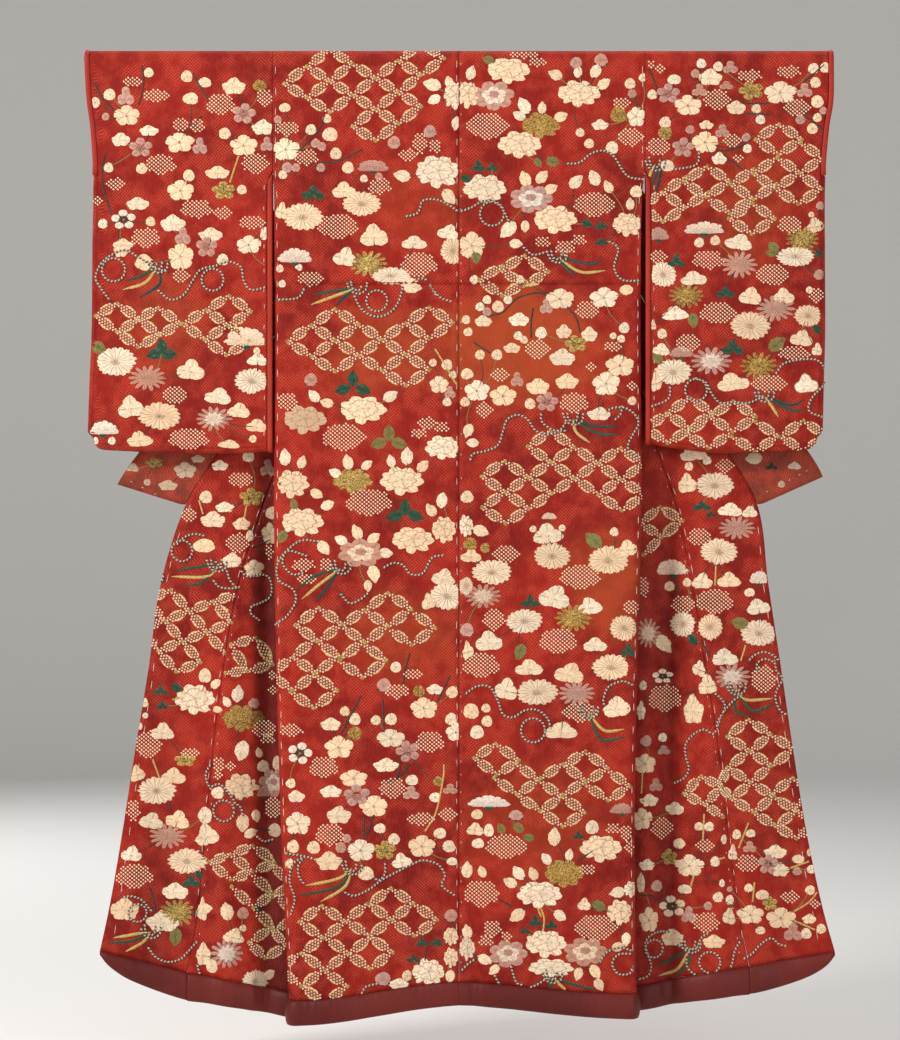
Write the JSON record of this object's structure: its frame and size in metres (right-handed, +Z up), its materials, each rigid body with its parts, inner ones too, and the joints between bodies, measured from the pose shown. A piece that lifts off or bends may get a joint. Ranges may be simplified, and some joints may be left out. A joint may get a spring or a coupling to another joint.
{
  "type": "uchikake wedding kimono on a hanging rod",
  "caption": "Long padded outer robe hung flat by a rod through its sleeves, back to the viewer, its fronts turned outward and a padded roll along the hem.",
  "frame": {"origin": "middle of the rod that carries the garment, on the rod's axis", "axes": "+Z up, the back of the garment faces -Y, the rod runs along X and +X is on the right of someone who looks at the back"},
  "size_m": [1.2811, 0.1331, 1.6591],
  "materials": {
    "patterned_silk": "red figured silk with embroidery",
    "lining_silk": "plain red silk",
    "rod_wood": "oiled"
  },
  "bodies": {
    "root": {"rod": "rod_wood", "body_panel_left": "patterned_silk", "body_panel_right": "patterned_silk", "overlap_panel_left": "patterned_silk", "overlap_panel_right": "patterned_silk", "collar": "patterned_silk", "sleeve_left": "patterned_silk", "sleeve_right": "patterned_silk", "sleeve_inner_edge_left": "lining_silk", "sleeve_inner_edge_right": "lining_silk", "wrist_edge_left": "lining_silk", "wrist_edge_right": "lining_silk", "hem_roll_back_left": "lining_silk", "hem_roll_back_right": "lining_silk", "hem_roll_front_left": "lining_silk", "hem_roll_front_right": "lining_silk", "hem_roll_overlap_left": "lining_silk", "hem_roll_overlap_right": "lining_silk"}
  },
  "joints": []
}
